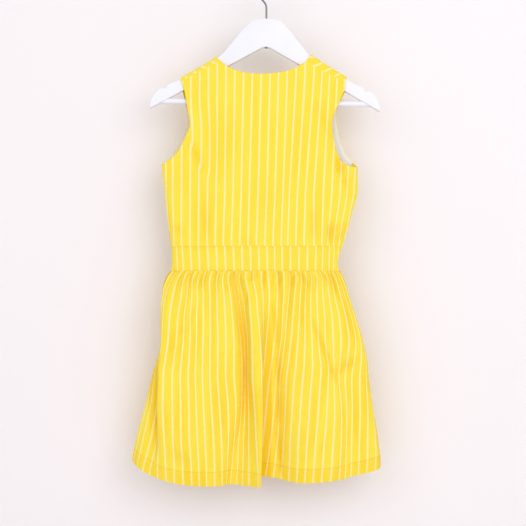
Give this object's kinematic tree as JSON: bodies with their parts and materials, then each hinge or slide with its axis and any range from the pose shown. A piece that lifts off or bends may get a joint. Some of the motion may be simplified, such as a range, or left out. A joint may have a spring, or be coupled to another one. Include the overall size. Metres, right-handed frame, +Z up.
{
  "type": "sleeveless fit and flare dress with gathered skirt on a flat shaped hanger with trouser bar",
  "caption": "Sleeveless striped dress with a fitted bodice, a plain waistband and a gathered flared skirt, hanging on a shaped hanger with a wire hook and a trouser bar.",
  "frame": {"origin": "point where the inside top of the hook's loop bears on a rail", "axes": "+Z up, +X to the viewer's right, -Y towards the viewer, who sees the garment's back; the front is on +Y"},
  "size_m": [0.4682, 0.0852, 0.9515],
  "materials": {
    "striped_cotton": "woven",
    "facing_cotton": "woven",
    "hanger_white": "painted satin",
    "hook_steel": "satin"
  },
  "bodies": {
    "root": {"bodice_back": "striped_cotton", "bodice_front": "striped_cotton", "waistband_back": "striped_cotton", "waistband_front": "striped_cotton", "skirt_back": "striped_cotton", "skirt_front": "striped_cotton", "armhole_facing_left": "facing_cotton", "armhole_facing_right": "facing_cotton", "hanger_body": "hanger_white", "hanger_bar": "hanger_white", "hanger_hook": "hook_steel"}
  },
  "joints": []
}
